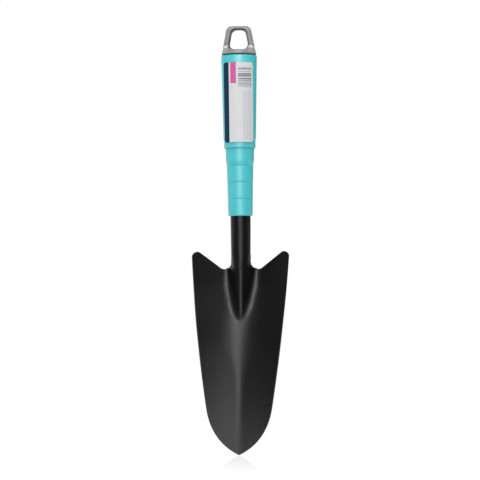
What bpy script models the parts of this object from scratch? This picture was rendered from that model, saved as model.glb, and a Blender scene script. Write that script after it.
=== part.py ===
"""Garden trowel: a pressed steel blade whose rolled tang sits in a moulded handle with a hanging eye.

Metres, +Z up along the handle. The trowel hangs from its eye: the origin is the highest point of the
eye's inner edge, where a hook bears. The scooping face of the blade looks along -Y.
"""

import math

import bmesh
import bpy
from mathutils import Vector

MM = 0.001

# Clearances
FIT_GAP = 0.3 * MM  # between two pieces that touch or seat on the real object
SKIN_GAP = 0.3 * MM  # between the sticker and the handle

# Hanging eye: two pairs of corner arcs, the lower pair further apart
EYE_HEIGHT = 15.5 * MM
EYE_TOP_RADIUS = 4.5 * MM
EYE_TOP_SPREAD = 1.55 * MM  # centre line to the centre of an upper corner arc
EYE_BOTTOM_RADIUS = 4.0 * MM
EYE_BOTTOM_SPREAD = 3.4 * MM
EYE_FLARE = 0.9 * MM  # how far the eye's edge is rounded back on each face

# Loop round the eye
LOOP_BAR = 3.0 * MM  # thickness of the bar over the eye
LOOP_CORNER_RADIUS = 4.4 * MM
LOOP_CORNER_SPREAD = 5.65 * MM
LOOP_FOOT_HALF_WIDTH = 12.4 * MM
LOOP_DEPTH = 9.0 * MM
LOOP_EDGE_RADIUS = 1.8 * MM

# Round base of the cap
BASE_HEIGHT = 4.8 * MM  # from the eye's lower edge down to the joint with the handle
BASE_RIM = 2.3 * MM  # how far the base rises beside the loop's feet, above the eye's lower edge
BASE_TOP_RADIUS = 12.9 * MM
BASE_EDGE_RADIUS = 1.2 * MM
BASE_DRAFT = math.radians(8)  # lean of the base's wall where its rounded edge ends
BASE_FLOOR = 2.6 * MM  # thickness left over the hollow of the plug

# Plug of the cap, and what holds it
PLUG_WALL = 1.8 * MM
PLUG_LENGTH = 12.0 * MM
PLUG_CHAMFER = 0.7 * MM
BEAD_DROP = 8.0 * MM  # joint to the middle of the snap bead
BEAD_RISE = 0.4 * MM
BEAD_WIDTH = 1.8 * MM
KEY_WIDTH = 3.0 * MM
KEY_RISE = 0.9 * MM
KEY_HEIGHT = 4.5 * MM
KEY_ROOT = 1.2 * MM  # how far the key reaches up into the base

# Handle, outside
HANDLE_TOP_RADIUS = 14.3 * MM
HANDLE_TOP_ROUNDING = 0.7 * MM
BODY_LENGTH = 65.5 * MM  # the smooth taper that carries the label
BODY_END_RADIUS = 13.0 * MM
LIP_SHOULDER = 3.2 * MM  # height of the soft shoulder under the taper
LIP_LENGTH = 5.4 * MM
LIP_RADIUS = 12.55 * MM
LIP_ROUNDING = 0.9 * MM
RING_LENGTHS = (14.0 * MM, 13.1 * MM, 13.2 * MM, 13.7 * MM)
RING_TOP_RADII = (11.55 * MM, 10.55 * MM, 10.2 * MM, 9.95 * MM)
RING_END_RADII = (10.5 * MM, 10.25 * MM, 10.0 * MM, 9.75 * MM)
RING_BULGE = (0.38 * MM, 0.06 * MM, 0.04 * MM, 0.02 * MM)
BULGE_SKEW = 2.2  # above 1, the fullest place lies below the middle of a ring
GROOVE_DEPTH = 0.25 * MM
GROOVE_HALF_WIDTH = 0.4 * MM
HANDLE_END_ROUNDING = 0.8 * MM

# Handle, inside
BORE_TOP_RADIUS = 10.8 * MM
BORE_END_RADIUS = 9.8 * MM
PLUG_ROOM = 1.4 * MM  # straight bore left below the plug
WEB_THICKNESS = 3.6 * MM
WEB_HOLE_RADIUS = 5.0 * MM

# Tang and neck: the sheet rolled into a tube with its seam at the back
SHEET = 1.5 * MM
TANG_RADIUS = 8.1 * MM
TANG_LENGTH = 60.0 * MM  # inside the handle
TANG_POINT_RADIUS = 7.7 * MM
TANG_POINT = 3.0 * MM
NECK_RADIUS = 7.75 * MM
NECK_LENGTH = 42.5 * MM  # from the handle to the notches of the blade
SEAM_HALF_GAP = 0.6 * MM
ROLL_LENGTH = 14.0 * MM  # over which the ridge's crest turns into the tube
FLARE_LENGTH = 6.5 * MM  # over which the free edges run in from the notches
FLARE_POWER = 2.6  # the higher, the tighter the flare is at its foot
NECK_CUT = 12.0 * MM  # half the sheet's width where the free edge has run in to the neck
SEAM_CLOSES = 14.0 * MM  # above that, where the two edges have come together at the back

# Pegs of the handle in the holes of the tang
PEG_RADIUS = 2.0 * MM
PEG_FROM_TANG_END = 24.0 * MM
PEG_ROOT = 0.75 * MM  # how far a peg is sunk in the wall of the handle

# Stiffening ridge on the face
RIDGE_LENGTH = 41.0 * MM
RIDGE_HALF_WIDTH = 12.2 * MM
RIDGE_HEIGHT = 12.6 * MM
RIDGE_TAPER = 1.6  # the higher, the longer the ridge keeps its width
RIDGE_BLUNTNESS = 0.42  # the lower, the blunter its end seen from the front
RIDGE_TOP_RADIUS = 4.3 * MM  # of the crest, level with the notches
RIDGE_END_RADIUS = 3.0 * MM
RIDGE_END_SOFTNESS = 1.1  # above 1, the crest runs out into the floor instead of ending in a step
VALLEY_TOP_RADIUS = 3.0 * MM
VALLEY_END_RADIUS = 10.0 * MM

# Scoop, seen from the front
BLADE_LENGTH = 144.9 * MM  # notch to tip
SHOULDER_RISE = 14.2 * MM  # notch to the top of a shoulder
SHOULDER_RADIUS = 3.5 * MM
SHOULDER_ANGLE = math.radians(37)
BLADE_HALF_WIDTH = 38.2 * MM
SIDE_TAPER = 0.0597  # run of the side per unit of length, at the shoulder
SIDE_CURVE = 0.372 / (1000 * MM)  # how fast that run grows
NOTCH_RADIUS = 5.0 * MM
NOTCH_FROM_CENTRE = 13.6 * MM
NOSE_LENGTH = 38.5 * MM
NOSE_PULL = 6.6 * MM  # first handle of the nose's curve, along the side
NOSE_TIP_PULL = 24.8 * MM  # second handle, back from the tip
NOSE_TIP_ANGLE = math.radians(65.2)  # between the edge and the centre line at the tip

# Scoop, seen in section
WING_SLOPE_TOP = 0.5
WING_SLOPE_TIP = 0.08
WING_CURVE = 4.0 / (1000 * MM)
FOLD_WIDTH = 2.5 * MM  # of the bend between floor and side, at the notches and at the tip
FOLD_SWELL = 16.0 * MM  # how much wider it is where the two folds meet
FOLD_REACH = 24.0 * MM  # how far that swell carries, up and down
FOLD_PARTS = 10.0 * MM  # below the notches, where a fold leaves its valley
FOLD_MEETS = 50.0 * MM  # below the notches, where it has come to the centre line
FLOOR_SLOPE = 0.34  # how fast the floor comes forward, at the notches
TIP_SLOPE = 0.24
FLOOR_BEND = 65.0 * MM  # over which the one turns into the other, below the notches

# Sticker
LABEL_WIDTH = 27.4 * MM  # round the handle
LABEL_LENGTH = 63.4 * MM
LABEL_DROP = 6.5 * MM  # joint of the cap to the label's upper edge
LABEL_THICKNESS = 0.25 * MM
LABEL_CORNER = 2.4 * MM

# Fineness of the mesh
MERGE_DISTANCE = 0.001 * MM
SHARP_EDGE = math.radians(35)
ROUND_STEPS = 40
ROD_STEPS = 16
CORNER_STEPS = 5
ROUNDING_STEPS = 3
LIP_SHARES = (0, 0.35, 0.7, 1)  # stations down the soft shoulder
FIRST_RING_SHARES = (0, 0.3, 0.6, 0.8, 0.92, 1)
RING_SHARES = (0, 0.5, 1)
LABEL_COLUMNS = 9
LABEL_ROWS = 4
LABEL_CORNER_SHARES = (0, 0.1, 0.35, 1)
NOTCH_STEPS = 4
SHOULDER_STEPS = 6
CREST_STEPS = 4
FLANK_STEPS = 3
VALLEY_STEPS = 5
CENTRE_MIN_WIDTH = 4.0 * MM
BEND_STEPS = 12
NECK_ROWS = 5
ROLL_ROWS = 8
UPPER_ROWS = 5
UPPER_DEPTH = 13.0 * MM
RIDGE_ROWS = 9
SIDE_ROWS = 7
NOSE_ROWS = 8
ROLL_CROWDING = 1.5  # above 1, the rows lie closer towards the notches
RIDGE_CROWDING = 1.6  # above 1, the rows lie closer towards the end of the ridge

# Heights that follow
JOINT_Z = -EYE_HEIGHT - BASE_HEIGHT
BASE_TOP_Z = -EYE_HEIGHT + BASE_RIM
HANDLE_TOP_Z = JOINT_Z - FIT_GAP
LIP_Z = HANDLE_TOP_Z - BODY_LENGTH
RINGS_Z = LIP_Z - LIP_SHOULDER - LIP_LENGTH
HANDLE_END_Z = RINGS_Z - sum(RING_LENGTHS)
TANG_TOP_Z = HANDLE_END_Z + TANG_LENGTH
NOTCH_Z = HANDLE_END_Z - NECK_LENGTH
RIDGE_END_Z = NOTCH_Z - RIDGE_LENGTH
TIP_Z = NOTCH_Z - BLADE_LENGTH
NOSE_Z = TIP_Z + NOSE_LENGTH
SHOULDER_Z = NOTCH_Z + SHOULDER_RISE - SHOULDER_RADIUS
PEG_Z = TANG_TOP_Z - PEG_FROM_TANG_END
PLUG_RADIUS = BORE_TOP_RADIUS - FIT_GAP
TANG_BORE_RADIUS = TANG_RADIUS + FIT_GAP


def mix(first, last, share):
    """The value at a share of the way from first to last."""
    return first + (last - first) * share


def ease(share):
    """A share that starts and ends without a kink."""
    return share * share * (3 - 2 * share)


def arc(centre, radius, start, end, steps):
    """Points on an arc in a plane, angles in radians from the first axis."""
    angles = [mix(start, end, i / steps) for i in range(steps + 1)]
    return [(centre[0] + radius * math.cos(a), centre[1] + radius * math.sin(a)) for a in angles]


def clear_scene():
    for old in list(bpy.data.objects):
        bpy.data.objects.remove(old)


def material(name, colour, roughness, metallic=0.0):
    made = bpy.data.materials.new(name)
    made.use_nodes = True
    shader = made.node_tree.nodes["Principled BSDF"]
    shader.inputs["Base Color"].default_value = (*colour, 1.0)
    shader.inputs["Roughness"].default_value = roughness
    shader.inputs["Metallic"].default_value = metallic
    return made


def add_object(name, form, finish=None):
    """A scene object from a bmesh, which is used up."""
    mesh = bpy.data.meshes.new(name)
    form.to_mesh(mesh)
    form.free()
    made = bpy.data.objects.new(name, mesh)
    bpy.context.collection.objects.link(made)
    if finish:
        mesh.materials.append(finish)
        mesh.shade_smooth()
        mesh.set_sharp_from_angle(angle=SHARP_EDGE)
    return made


def add_cutter(name, form):
    """A guide object that only serves a Boolean."""
    cutter = add_object(name, form)
    cutter.hide_render = True
    cutter.display_type = "WIRE"
    return cutter


def combine(target, other, operation):
    """A Boolean modifier on the target, with the other object as its operand."""
    step = target.modifiers.new(f"{operation.lower()}_{other.name}", "BOOLEAN")
    step.operation = operation
    step.solver = "EXACT"
    step.object = other


def turned(profile, steps=ROUND_STEPS):
    """A closed body turned about Z from a profile of (radius, height), listed from axis to axis."""
    form = bmesh.new()
    points = [form.verts.new((radius, 0, height)) for radius, height in profile]
    edges = [form.edges.new(pair) for pair in zip(points, points[1:])]
    bmesh.ops.spin(
        form,
        geom=points + edges,
        cent=(0, 0, 0),
        axis=(0, 0, 1),
        angle=2 * math.pi,
        steps=steps,
        use_duplicate=False,
    )
    bmesh.ops.remove_doubles(form, verts=form.verts, dist=MERGE_DISTANCE)
    bmesh.ops.recalc_face_normals(form, faces=form.faces)
    return form


def turned_ring(profile, steps=ROUND_STEPS):
    """The same, for a closed profile that stays clear of the axis."""
    return turned(profile + profile[:1], steps)


def stacked(loops):
    """A closed body from loops of equal count, each loop one cross-section."""
    form = bmesh.new()
    rings = [[form.verts.new(point) for point in loop] for loop in loops]
    for lower, upper in zip(rings, rings[1:]):
        for i in range(len(lower)):
            j = (i + 1) % len(lower)
            form.faces.new((lower[i], lower[j], upper[j], upper[i]))
    form.faces.new(rings[0][::-1])
    form.faces.new(rings[-1])
    bmesh.ops.recalc_face_normals(form, faces=form.faces)
    return form


def box_form(low, high):
    """A box between two corners."""
    form = bmesh.new()
    bmesh.ops.create_cube(form, size=1.0)
    for vert in form.verts:
        vert.co = Vector(low) + Vector(
            ((vert.co[i] + 0.5) * (high[i] - low[i]) for i in range(3))
        )
    return form


def rod_form(radius, start, end, steps=ROD_STEPS):
    """A rod along X between two distances, at the height of the pegs."""
    loops = []
    for x in (start, end):
        loops.append([(x, y, z) for y, z in arc((0, PEG_Z), radius, 0, 2 * math.pi, steps)[:-1]])
    return stacked(loops)


def eye_outline(grow):
    """The eye's outline in X and Z, grown outwards by a distance."""
    top = (EYE_TOP_SPREAD, -EYE_TOP_RADIUS)
    bottom = (EYE_BOTTOM_SPREAD, -EYE_HEIGHT + EYE_BOTTOM_RADIUS)
    lean = math.atan2(bottom[0] - top[0], top[1] - bottom[1])
    right = arc(top, EYE_TOP_RADIUS + grow, math.pi / 2, lean, CORNER_STEPS)
    right += arc(bottom, EYE_BOTTOM_RADIUS + grow, lean, -math.pi / 2, CORNER_STEPS)
    left = [(-x, z) for x, z in reversed(right)]
    return right + left


def eye_cutter():
    """The eye's hole, rounded back towards both faces of the loop."""
    half = LOOP_DEPTH / 2
    inner = half - EYE_FLARE
    beyond = BASE_TOP_RADIUS + EYE_FLARE
    turns = [math.radians(angle) for angle in (0, 30, 60, 90)]
    depths = [inner + EYE_FLARE * math.sin(turn) for turn in turns]
    grows = [EYE_FLARE * (1 - math.cos(turn)) for turn in turns]
    sections = list(zip(depths, grows)) + [(beyond, EYE_FLARE)]
    sections = [(-y, grow) for y, grow in reversed(sections)] + sections
    return stacked([[(x, y, z) for x, z in eye_outline(grow)] for y, grow in sections])


def loop_outline(inset):
    """The loop's outline in X and Z, drawn in by a distance."""
    corner = (LOOP_CORNER_SPREAD, LOOP_BAR - LOOP_CORNER_RADIUS)
    foot = (LOOP_FOOT_HALF_WIDTH, BASE_TOP_Z)
    reach = math.hypot(foot[0] - corner[0], foot[1] - corner[1])
    swing = math.atan2(corner[1] - foot[1], foot[0] - corner[0])
    lean = math.acos(LOOP_CORNER_RADIUS / reach) - swing
    right = arc(corner, LOOP_CORNER_RADIUS - inset, math.pi / 2, lean, CORNER_STEPS + 1)
    foot_x = foot[0] - inset / math.cos(lean)
    buried = (foot_x - BASE_RIM * math.tan(lean), -EYE_HEIGHT)
    right += [(foot_x, foot[1]), buried]
    left = [(-x, z) for x, z in reversed(right)]
    return right + left


def loop_form():
    """The plate that the eye goes through, with rounded edges, its foot sunk in the base."""
    half = LOOP_DEPTH / 2
    turns = [math.radians(angle) for angle in (0, 30, 60, 90)]
    sections = []
    for turn in turns:
        depth = half - LOOP_EDGE_RADIUS * (1 - math.cos(turn))
        sections.append((depth, LOOP_EDGE_RADIUS * (1 - math.sin(turn))))
    sections = [(-y, inset) for y, inset in sections] + [(y, inset) for y, inset in reversed(sections)]
    return stacked([[(x, y, z) for x, z in loop_outline(inset)] for y, inset in sections])


def bead(radius, middle, grow):
    """Profile points of a ring that stands out of a wall, top to bottom."""
    half = BEAD_WIDTH / 2 + grow
    rise = BEAD_RISE
    return [
        (radius, middle + half),
        (radius + rise, middle + half / 2),
        (radius + rise, middle - half / 2),
        (radius, middle - half),
    ]


def cap_profile():
    """The turned part of the cap: base above the joint, hollow plug below it."""
    rim = arc(
        (BASE_TOP_RADIUS - BASE_EDGE_RADIUS, BASE_TOP_Z - BASE_EDGE_RADIUS),
        BASE_EDGE_RADIUS,
        math.pi / 2,
        BASE_DRAFT,
        ROUNDING_STEPS,
    )
    plug_end = JOINT_Z - PLUG_LENGTH
    inside = PLUG_RADIUS - PLUG_WALL
    ceiling = -EYE_HEIGHT - BASE_FLOOR
    return [
        (0, BASE_TOP_Z),
        *rim,
        (HANDLE_TOP_RADIUS - HANDLE_TOP_ROUNDING / 2, JOINT_Z + HANDLE_TOP_ROUNDING),
        (HANDLE_TOP_RADIUS - HANDLE_TOP_ROUNDING, JOINT_Z),
        (PLUG_RADIUS, JOINT_Z),
        *bead(PLUG_RADIUS, JOINT_Z - BEAD_DROP, 0),
        (PLUG_RADIUS, plug_end + PLUG_CHAMFER),
        (PLUG_RADIUS - PLUG_CHAMFER, plug_end),
        (inside, plug_end),
        (inside, ceiling),
        (0, ceiling),
    ]


def make_hanger_cap(finish):
    cap = add_object("hanger_cap", turned(cap_profile()), finish)
    key_low = (-KEY_WIDTH / 2, PLUG_RADIUS - PLUG_WALL / 2, JOINT_Z - KEY_HEIGHT)
    key_high = (KEY_WIDTH / 2, PLUG_RADIUS + KEY_RISE, JOINT_Z + KEY_ROOT)
    combine(cap, add_cutter("loop_plate", loop_form()), "UNION")
    combine(cap, add_cutter("plug_key", box_form(key_low, key_high)), "UNION")
    combine(cap, add_cutter("eye_hole", eye_cutter()), "DIFFERENCE")


def body_radius(height):
    """Radius of the handle's smooth taper at a height."""
    return mix(HANDLE_TOP_RADIUS, BODY_END_RADIUS, (HANDLE_TOP_Z - height) / BODY_LENGTH)


def lip_profile():
    """The soft shoulder, the band below it and its rounded lower edge."""
    points = []
    for step in LIP_SHARES:
        points.append((mix(BODY_END_RADIUS, LIP_RADIUS, ease(step)), LIP_Z - LIP_SHOULDER * step))
    centre = (LIP_RADIUS - LIP_ROUNDING, RINGS_Z + LIP_ROUNDING)
    return points + arc(centre, LIP_ROUNDING, 0, -math.pi / 2, ROUNDING_STEPS)


def ring_profile(index):
    """One ringed step of the handle, from the groove above it to the groove below it."""
    top = RINGS_Z - sum(RING_LENGTHS[:index])
    start, end = RING_TOP_RADII[index], RING_END_RADII[index]
    length = RING_LENGTHS[index] - 2 * GROOVE_HALF_WIDTH
    points = [(start - GROOVE_DEPTH, top)]
    for share in RING_SHARES if index else FIRST_RING_SHARES:
        bulge = RING_BULGE[index] * math.sin(math.pi * share**BULGE_SKEW)
        points.append((mix(start, end, share) + bulge, top - GROOVE_HALF_WIDTH - length * share))
    return points


def handle_outside():
    """Profile from the joint down to the lower end."""
    top = arc(
        (HANDLE_TOP_RADIUS - HANDLE_TOP_ROUNDING, HANDLE_TOP_Z - HANDLE_TOP_ROUNDING),
        HANDLE_TOP_ROUNDING,
        math.pi / 2,
        0,
        ROUNDING_STEPS,
    )
    rings = [point for index in range(len(RING_TOP_RADII)) for point in ring_profile(index)]
    centre = (RING_END_RADII[-1] - HANDLE_END_ROUNDING, HANDLE_END_Z + HANDLE_END_ROUNDING)
    end = arc(centre, HANDLE_END_ROUNDING, 0, -math.pi / 2, ROUNDING_STEPS)
    return top + lip_profile() + rings[:-1] + end


def handle_inside():
    """Profile from the lower end up to the joint: tang bore, web, hollow, bore of the plug."""
    seat = TANG_TOP_Z + FIT_GAP
    plug_bore_end = JOINT_Z - PLUG_LENGTH - PLUG_ROOM
    groove = bead(BORE_TOP_RADIUS, JOINT_Z - BEAD_DROP, FIT_GAP)
    return [
        (TANG_BORE_RADIUS, HANDLE_END_Z),
        (TANG_BORE_RADIUS, seat),
        (WEB_HOLE_RADIUS, seat),
        (WEB_HOLE_RADIUS, seat + WEB_THICKNESS),
        (BORE_END_RADIUS, seat + WEB_THICKNESS),
        (BORE_TOP_RADIUS, plug_bore_end),
        *reversed(groove),
        (BORE_TOP_RADIUS, HANDLE_TOP_Z),
    ]


def make_handle(finish):
    handle = add_object("handle", turned_ring(handle_outside() + handle_inside()), finish)
    notch_low = (-KEY_WIDTH / 2 - FIT_GAP, BORE_TOP_RADIUS - KEY_RISE, JOINT_Z - KEY_HEIGHT - FIT_GAP)
    notch_high = (KEY_WIDTH / 2 + FIT_GAP, BORE_TOP_RADIUS + KEY_RISE, JOINT_Z + FIT_GAP)
    combine(handle, add_cutter("key_notch", box_form(notch_low, notch_high)), "DIFFERENCE")
    peg_root = TANG_BORE_RADIUS + PEG_ROOT
    peg_end = TANG_RADIUS - SHEET
    for side, name in ((-1, "peg_left"), (1, "peg_right")):
        ends = sorted((side * peg_root, side * peg_end))
        combine(handle, add_cutter(name, rod_form(PEG_RADIUS, *ends)), "UNION")


def label_column(across):
    """How far the sticker's upper and lower edges are drawn in at a distance from its side."""
    from_side = min(across, LABEL_WIDTH - across)
    if from_side >= LABEL_CORNER:
        return 0.0
    return LABEL_CORNER - math.sqrt(LABEL_CORNER**2 - (LABEL_CORNER - from_side) ** 2)


def make_label(finish):
    """A thin patch that follows the taper of the handle."""
    corner = [LABEL_CORNER * share for share in LABEL_CORNER_SHARES]
    middle = [
        mix(LABEL_CORNER, LABEL_WIDTH - LABEL_CORNER, i / LABEL_COLUMNS) for i in range(1, LABEL_COLUMNS)
    ]
    stations = corner + middle + [LABEL_WIDTH - across for across in reversed(corner)]
    top = JOINT_Z - LABEL_DROP
    form = bmesh.new()
    columns = []
    for across in stations:
        draw_in = label_column(across)
        column = []
        for step in range(LABEL_ROWS + 1):
            height = mix(top - draw_in, top - LABEL_LENGTH + draw_in, step / LABEL_ROWS)
            radius = body_radius(height) + SKIN_GAP + LABEL_THICKNESS
            turn = (across - LABEL_WIDTH / 2) / radius
            column.append(form.verts.new((radius * math.sin(turn), -radius * math.cos(turn), height)))
        columns.append(column)
    for left, right in zip(columns, columns[1:]):
        for i in range(LABEL_ROWS):
            form.faces.new((left[i], left[i + 1], right[i + 1], right[i]))
    label = add_object("label", form, finish)
    thicken(label, LABEL_THICKNESS)


def thicken(target, thickness):
    """Solidify away from the side that the faces look to."""
    step = target.modifiers.new("thickness", "SOLIDIFY")
    step.thickness = thickness
    step.offset = -1
    step.use_even_offset = True
    step.use_quality_normals = True


def ridge_at(height):
    """Half-width between the valleys, rise, crest radius and valley radius of the ridge at a height."""
    along = min(1.0, max(0.0, (NOTCH_Z - height) / RIDGE_LENGTH))
    half_width = RIDGE_HALF_WIDTH * (1 - along**RIDGE_TAPER) ** RIDGE_BLUNTNESS
    crest = mix(RIDGE_END_RADIUS, RIDGE_TOP_RADIUS, (1 - along) ** 2)
    valley = mix(VALLEY_TOP_RADIUS, VALLEY_END_RADIUS, along)
    return half_width, RIDGE_HEIGHT * (1 - along) ** RIDGE_END_SOFTNESS, crest, valley


def fold_at(height):
    """Steepness of the scoop's sides, and where the fold at their foot starts and how wide it is."""
    steep = mix(WING_SLOPE_TIP, WING_SLOPE_TOP, (height - TIP_Z) / BLADE_LENGTH)
    below = NOTCH_Z - height
    parted = (below - FOLD_PARTS) / (FOLD_MEETS - FOLD_PARTS)
    width = FOLD_WIDTH + FOLD_SWELL * math.exp(-(((below - FOLD_MEETS) / FOLD_REACH) ** 2))
    return steep, RIDGE_HALF_WIDTH * (1 - ease(min(1.0, max(0.0, parted)))), width


def wing_slope(across, height):
    """Slope of the scoop's face, without its ridge."""
    steep, start, width = fold_at(height)
    folded = min(1.0, max(0.0, (across - start) / width))
    return steep * folded * (2 - folded)


def foot_turn(height):
    """How far past square the arc of the valley turns before it runs into the wing."""
    return math.atan(wing_slope(ridge_at(height)[0], height))


def foot_at(height):
    """Distance from the centre line at which the valley has run into the wing."""
    half_width, _, _, valley = ridge_at(height)
    return half_width + valley * math.sin(foot_turn(height))


def ridge_bends(height):
    """The ridge's section as stretches of (length, curvature): crest arc, straight flank, valley arc."""
    half_width, rise, crest, valley = ridge_at(height)
    both = crest + valley
    flank = math.sqrt(max(0.0, half_width**2 + rise**2 - 2 * both * rise))
    reach = math.hypot(half_width, both - rise)
    slope = math.asin(min(1.0, both / reach)) - math.atan2(both - rise, half_width)
    return [(crest * slope, 1 / crest), (flank, 0.0), (valley * (slope + foot_turn(height)), -1 / valley)]


def curvature_at(bends, along):
    """Curvature of a section at a distance from its middle."""
    for length, curvature in bends:
        if along < length:
            return curvature
        along -= length
    return bends[-1][1]


def stations(bends):
    """Distances along the section at which the sheet's columns lie, closer where it bends hard."""
    found = [0.0]
    for (length, _), steps in zip(bends, (CREST_STEPS, FLANK_STEPS, VALLEY_STEPS)):
        start = found[-1]
        found += [start + length * (i + 1) / steps for i in range(steps)]
    return found


def bent_line(marks, curvature):
    """Points (across, back) at the marks along a line that starts square to the view."""
    across = back = turn = 0.0
    points = [(across, back)]
    for start, end in zip(marks, marks[1:]):
        step = (end - start) / BEND_STEPS
        for i in range(BEND_STEPS):
            bend = curvature(start + (i + 0.5) * step) * step
            across += step * math.cos(turn + bend / 2)
            back += step * math.sin(turn + bend / 2)
            turn += bend
        points.append((across, back))
    return points


def tube_radius(height):
    """Outer radius of the rolled tube: tapered point, tang, then the neck."""
    if height > TANG_TOP_Z - TANG_POINT:
        return mix(TANG_POINT_RADIUS, TANG_RADIUS, (TANG_TOP_Z - height) / TANG_POINT)
    below = max(0.0, (HANDLE_END_Z - height) / NECK_LENGTH)
    return mix(TANG_RADIUS, NECK_RADIUS, ease(min(1.0, below)))


def sheet_half_width(above, radius, foot_width):
    """Half the width of the flat sheet at a distance above the foot of the flare."""
    closed = min(1.0, max(0.0, (above - FLARE_LENGTH) / SEAM_CLOSES))
    cut = mix(NECK_CUT, math.pi * radius - SEAM_HALF_GAP, ease(closed))
    return mix(cut, foot_width, max(0.0, 1 - above / FLARE_LENGTH) ** FLARE_POWER)


def tube_row(height):
    """Half a section of the tang or neck; near the notches it opens into the ridge's section."""
    radius = tube_radius(height)
    above = height - top_outline()[0][1]
    opened = ease(max(0.0, 1 - above / ROLL_LENGTH))
    bends = ridge_bends(NOTCH_Z)
    marks = stations(bends)
    widened = sheet_half_width(above, radius, marks[-1]) / marks[-1]
    line = bent_line(
        [mark * widened for mark in marks],
        lambda along: mix(1 / radius, curvature_at(bends, along), opened),
    )
    return [(across, back - radius, height) for across, back in line]


def scoop_depth(across, height):
    """Depth of the scoop's face without its ridge, measured back from its centre line at the notches."""
    steep, start, width = fold_at(height)
    folded = min(1.0, max(0.0, (across - start) / width))
    side = width * folded**2 * (1 - folded / 3) + max(0.0, across - start - width)
    rolled = max(0.0, across - RIDGE_HALF_WIDTH)
    below = NOTCH_Z - height
    bent = min(1.0, max(0.0, below / FLOOR_BEND))
    straightened = FLOOR_BEND * bent**3 * (1 - bent / 2) + max(0.0, below - FLOOR_BEND)
    floor = FLOOR_SLOPE * below - (FLOOR_SLOPE - TIP_SLOPE) * straightened
    return -steep * side - WING_CURVE * rolled * rolled / 2 - floor


def crest_depth(height):
    """Depth of the ridge's crest, measured as scoop_depth is."""
    _, rise, _, valley = ridge_at(height)
    back_of_foot = valley * (1 - math.cos(foot_turn(height)))
    return scoop_depth(foot_at(height), height) + back_of_foot - rise


def face_depth(across, height):
    """Depth of the scoop's face, set so that the crest runs on from the front of the neck."""
    return scoop_depth(across, height) - crest_depth(NOTCH_Z) - NECK_RADIUS


def ridge_row(height, limit=math.inf):
    """Half a section from the centre line to the end of the valley, or to a limit where no ridge is left."""
    half_width, rise, _, _ = ridge_at(height)
    if half_width > CENTRE_MIN_WIDTH:
        bends = ridge_bends(height)
        line = bent_line(stations(bends), lambda along: curvature_at(bends, along))
        front = crest_depth(height) - crest_depth(NOTCH_Z) - NECK_RADIUS
        return [(across, front + back, height) for across, back in line]
    row = []
    columns = CREST_STEPS + FLANK_STEPS + VALLEY_STEPS
    for i in range(columns + 1):
        across = min(centre_width(height), limit) * i / columns
        swell = rise * max(0.0, 1 - (across / foot_at(height)) ** 2) ** 2 if rise else 0.0
        row.append((across, face_depth(across, height) - swell, height))
    return row


def centre_width(height):
    """Half-width of the band of columns that carries the ridge."""
    return max(foot_at(height), CENTRE_MIN_WIDTH)


def side_at(height):
    """Half-width of the scoop at a height between shoulder and nose."""
    down = max(0.0, SHOULDER_Z - height)
    return BLADE_HALF_WIDTH - SIDE_TAPER * down - SIDE_CURVE * down * down


def nose_outline():
    """Points (half-width, height) along the nose, from the end of the side to the tip."""
    start = Vector((side_at(NOSE_Z), NOSE_Z))
    run = SIDE_TAPER + 2 * SIDE_CURVE * (SHOULDER_Z - NOSE_Z)
    first = start - Vector((run, 1)).normalized() * NOSE_PULL
    tip = Vector((0, TIP_Z))
    second = tip + Vector((math.sin(NOSE_TIP_ANGLE), math.cos(NOSE_TIP_ANGLE))) * NOSE_TIP_PULL
    points = []
    for i in range(NOSE_ROWS + 1):
        s = i / NOSE_ROWS
        point = (
            start * (1 - s) ** 3 + first * 3 * s * (1 - s) ** 2 + second * 3 * s * s * (1 - s) + tip * s**3
        )
        points.append((max(point.x, 0.0), point.y))
    return points


def top_outline():
    """Points (across, height) of the free upper edge, from the valley to the outside of a shoulder."""
    notch = (NOTCH_FROM_CENTRE, NOTCH_Z + NOTCH_RADIUS)
    start = math.asin((foot_at(NOTCH_Z) - NOTCH_FROM_CENTRE) / NOTCH_RADIUS) - math.pi / 2
    points = arc(notch, NOTCH_RADIUS, start, SHOULDER_ANGLE - math.pi / 2, NOTCH_STEPS)
    shoulder = (BLADE_HALF_WIDTH - SHOULDER_RADIUS, SHOULDER_Z)
    rounding = arc(shoulder, SHOULDER_RADIUS, SHOULDER_ANGLE + math.pi / 2, 0, SHOULDER_STEPS)
    start, end = points[-1], rounding[0]
    for share in (1 / 3, 2 / 3):
        points.append((mix(start[0], end[0], share), mix(start[1], end[1], share)))
    return points + rounding


def upper_rows(top):
    """Rows of the wing between its free upper edge and the first level row."""
    low = NOTCH_Z - UPPER_DEPTH
    lengths = [0.0]
    for a, b in zip(top, top[1:]):
        lengths.append(lengths[-1] + math.dist(a, b))
    shares = [length / lengths[-1] for length in lengths]
    a, b = top[0], top[-1]
    d, c = (foot_at(low), low), (side_at(low), low)
    rows = []
    for j in range(UPPER_ROWS + 1):
        v = j / UPPER_ROWS
        inner_z = mix(a[1], low, v)
        outer_z = mix(b[1], low, v)
        inner = (foot_at(inner_z), inner_z)
        outer = (side_at(outer_z), outer_z)
        row = []
        for u, edge in zip(shares, top):
            level = (mix(d[0], c[0], u), low)
            point = [
                mix(edge[k], level[k], v)
                + mix(inner[k], outer[k], u)
                - mix(mix(a[k], b[k], u), mix(d[k], c[k], u), v)
                for k in (0, 1)
            ]
            row.append((point[0], face_depth(*point), point[1]))
        rows.append(row)
    return rows, shares


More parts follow.
